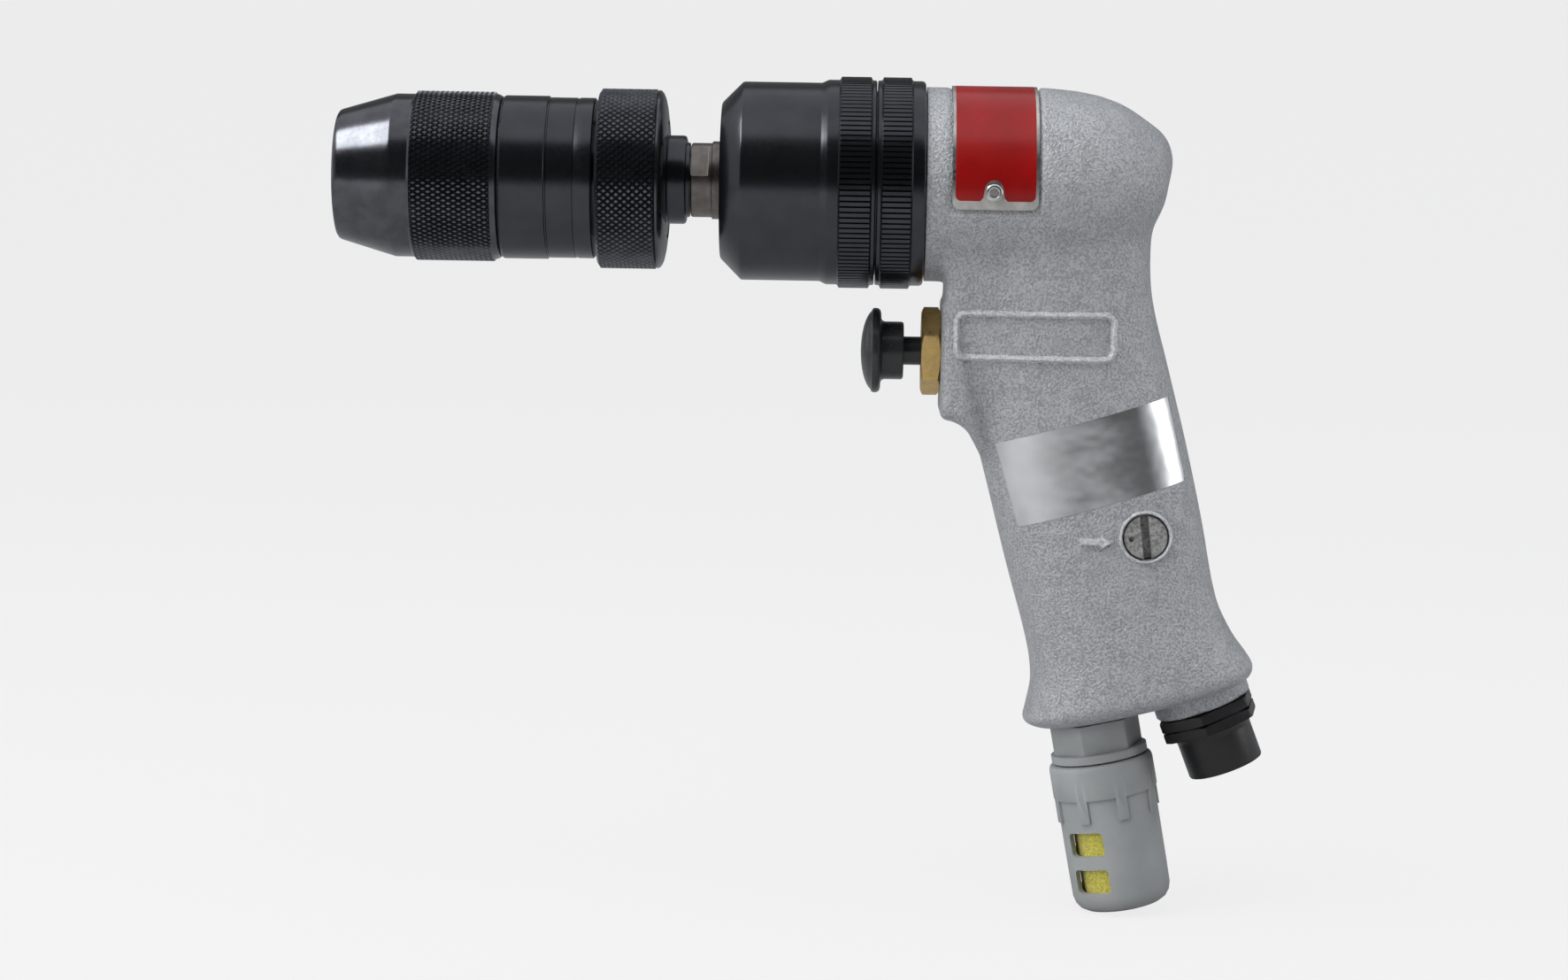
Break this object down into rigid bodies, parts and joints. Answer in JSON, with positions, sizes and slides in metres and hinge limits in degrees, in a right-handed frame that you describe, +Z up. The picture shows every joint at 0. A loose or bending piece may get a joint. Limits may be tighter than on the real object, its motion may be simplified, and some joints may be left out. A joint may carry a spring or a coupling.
{
  "type": "pneumatic pistol-grip driver",
  "caption": "Air-powered pistol-grip driver with a keyless three-jaw chuck, slip clutch, planetary gearing, push-button throttle, speed regulator and exhaust silencer.",
  "frame": {"origin": "point on the spindle axis where the centre line of the grip meets it", "axes": "+X along the spindle from the chuck to the back of the motor, +Y across the width, +Z up from the grip to the barrel"},
  "size_m": [0.2045, 0.0458, 0.182],
  "materials": {
    "black_oxide_steel": "blue-black oxide, satin",
    "bright_steel": "ground and bright",
    "gear_steel": "hardened, grey",
    "hammered_paint": "silver-grey hammered paint on a cast aluminium housing",
    "red_enamel": "glossy red enamel on aluminium sheet",
    "brass": "machined brass",
    "bushing_bronze": "sintered bronze",
    "charcoal_plastic": "dark charcoal, semi-gloss",
    "grey_plastic": "mid grey moulded plastic",
    "yellow_felt": "pressed yellow felt",
    "black_rubber": "nitrile rubber",
    "vane_fibre": "brown resin-bonded fibre",
    "spring_steel": "spring steel",
    "black_fitting": "black satin finish"
  },
  "bodies": {
    "housing": {"housing": "hammered_paint", "gear_case": "black_oxide_steel", "clutch_case": "black_oxide_steel", "spindle_bushing": "bushing_bronze", "ring_gear": "gear_steel", "motor_cylinder": "gear_steel", "motor_front_plate": "gear_steel", "motor_rear_plate": "gear_steel", "front_bearing": "bright_steel", "rear_bearing": "bright_steel", "nameplate": "red_enamel", "plate_rivet_1": "bright_steel", "plate_rivet_3": "bright_steel", "brass_bushing": "brass", "valve_seat": "black_rubber", "valve_spring": "spring_steel", "silencer_adapter": "grey_plastic", "silencer_case": "grey_plastic", "silencer_element": "yellow_felt", "inlet_bushing": "black_fitting", "inlet_screen": "bright_steel", "hose_adapter": "black_fitting"},
    "spindle": {"output_spindle": "bright_steel", "chuck_body": "black_oxide_steel", "chuck_holding_ring": "black_oxide_steel", "chuck_thrust_race": "bright_steel", "clutch_spring": "spring_steel"},
    "chuck_shell": {"chuck_hood": "black_oxide_steel", "chuck_sleeve": "black_oxide_steel", "jaw_guide": "bright_steel"},
    "feed_screw": {"feed_screw": "bright_steel"},
    "jaw_1": {"chuck_jaw_1": "bright_steel"},
    "jaw_2": {"chuck_jaw_2": "bright_steel"},
    "jaw_3": {"chuck_jaw_3": "bright_steel"},
    "clutch_plate": {"clutch_plate": "gear_steel"},
    "spring_seat": {"clutch_spring_seat": "gear_steel"},
    "adjusting_nut": {"clutch_adjusting_nut": "gear_steel"},
    "carrier": {"planet_carrier": "gear_steel", "planet_pin_1": "bright_steel", "planet_pin_2": "bright_steel", "planet_pin_3": "bright_steel"},
    "planet_1": {"planet_gear_1": "gear_steel"},
    "planet_2": {"planet_gear_2": "gear_steel"},
    "planet_3": {"planet_gear_3": "gear_steel"},
    "rotor": {"motor_rotor": "bright_steel", "sun_pinion": "gear_steel", "rotor_vane_1": "vane_fibre", "rotor_vane_2": "vane_fibre", "rotor_vane_3": "vane_fibre", "rotor_vane_4": "vane_fibre", "rotor_vane_5": "vane_fibre"},
    "throttle_button": {"push_button": "charcoal_plastic", "valve_stem": "bright_steel", "valve_poppet": "bright_steel"},
    "regulator": {"regulator_plug": "gear_steel"}
  },
  "joints": [
    {"name": "spindle_spin", "type": "hinge", "parent": "housing", "child": "spindle", "pos_m": [0, 0, 0], "axis": [1, 0, 0], "continuous": true},
    {"name": "carrier_spin", "type": "hinge", "parent": "housing", "child": "carrier", "pos_m": [0, 0, 0], "axis": [1, 0, 0], "continuous": true},
    {"name": "rotor_spin", "type": "hinge", "parent": "housing", "child": "rotor", "pos_m": [0, 0, 0], "axis": [1, 0, 0], "continuous": true},
    {"name": "planet_1_spin", "type": "hinge", "parent": "carrier", "child": "planet_1", "pos_m": [0, 0, -0.0099], "axis": [1, 0, 0], "continuous": true},
    {"name": "planet_2_spin", "type": "hinge", "parent": "carrier", "child": "planet_2", "pos_m": [0, 0.00857, 0.00495], "axis": [1, 0, 0], "continuous": true},
    {"name": "planet_3_spin", "type": "hinge", "parent": "carrier", "child": "planet_3", "pos_m": [0, -0.00857, 0.00495], "axis": [1, 0, 0], "continuous": true},
    {"name": "chuck_turn", "type": "hinge", "parent": "spindle", "child": "chuck_shell", "pos_m": [0, 0, 0], "axis": [1, 0, 0], "range_deg": [0, 1908]},
    {"name": "feed_slide", "type": "slide", "parent": "chuck_shell", "child": "feed_screw", "axis": [-1, 0, 0], "range_m": [0, 0.01326]},
    {"name": "jaw_1_slide", "type": "slide", "parent": "chuck_shell", "child": "jaw_1", "axis": [-0.9613, 0, 0.2756], "range_m": [0, 0.0138]},
    {"name": "jaw_2_slide", "type": "slide", "parent": "chuck_shell", "child": "jaw_2", "axis": [-0.9613, -0.2387, -0.1378], "range_m": [0, 0.0138]},
    {"name": "jaw_3_slide", "type": "slide", "parent": "chuck_shell", "child": "jaw_3", "axis": [-0.9613, 0.2387, -0.1378], "range_m": [0, 0.0138]},
    {"name": "clutch_slip", "type": "slide", "parent": "spindle", "child": "clutch_plate", "axis": [-1, 0, 0], "range_m": [0, 0.0015], "stiffness_N_per_m": 9000, "springref_m": -0.0006, "deforming": ["clutch_spring"]},
    {"name": "seat_slide", "type": "slide", "parent": "spindle", "child": "spring_seat", "axis": [1, 0, 0], "range_m": [0, 0.0012]},
    {"name": "nut_turn", "type": "hinge", "parent": "spring_seat", "child": "adjusting_nut", "pos_m": [0, 0, 0], "axis": [1, 0, 0], "range_deg": [0, 430]},
    {"name": "throttle_press", "type": "slide", "parent": "housing", "child": "throttle_button", "axis": [1, 0, 0], "range_m": [0, 0.003], "stiffness_N_per_m": 2500, "springref_m": -0.002, "deforming": ["valve_spring"]},
    {"name": "regulator_turn", "type": "hinge", "parent": "housing", "child": "regulator", "pos_m": [0.0285, 0, -0.0747], "axis": [0, 1, 0], "range_deg": [0, 90]}
  ],
  "couplings": [
    {"joint": "carrier_spin", "follows": "spindle_spin", "ratio": 1},
    {"joint": "rotor_spin", "follows": "spindle_spin", "ratio": 5.5},
    {"joint": "planet_1_spin", "follows": "spindle_spin", "ratio": -2.5714},
    {"joint": "planet_2_spin", "follows": "spindle_spin", "ratio": -2.5714},
    {"joint": "planet_3_spin", "follows": "spindle_spin", "ratio": -2.5714},
    {"joint": "feed_slide", "follows": "chuck_turn", "m_per_rad": 0.00039789},
    {"joint": "jaw_1_slide", "follows": "chuck_turn", "m_per_rad": 0.00041392},
    {"joint": "jaw_2_slide", "follows": "chuck_turn", "m_per_rad": 0.00041392},
    {"joint": "jaw_3_slide", "follows": "chuck_turn", "m_per_rad": 0.00041392},
    {"joint": "seat_slide", "follows": "nut_turn", "m_per_rad": 0.00015915}
  ]
}
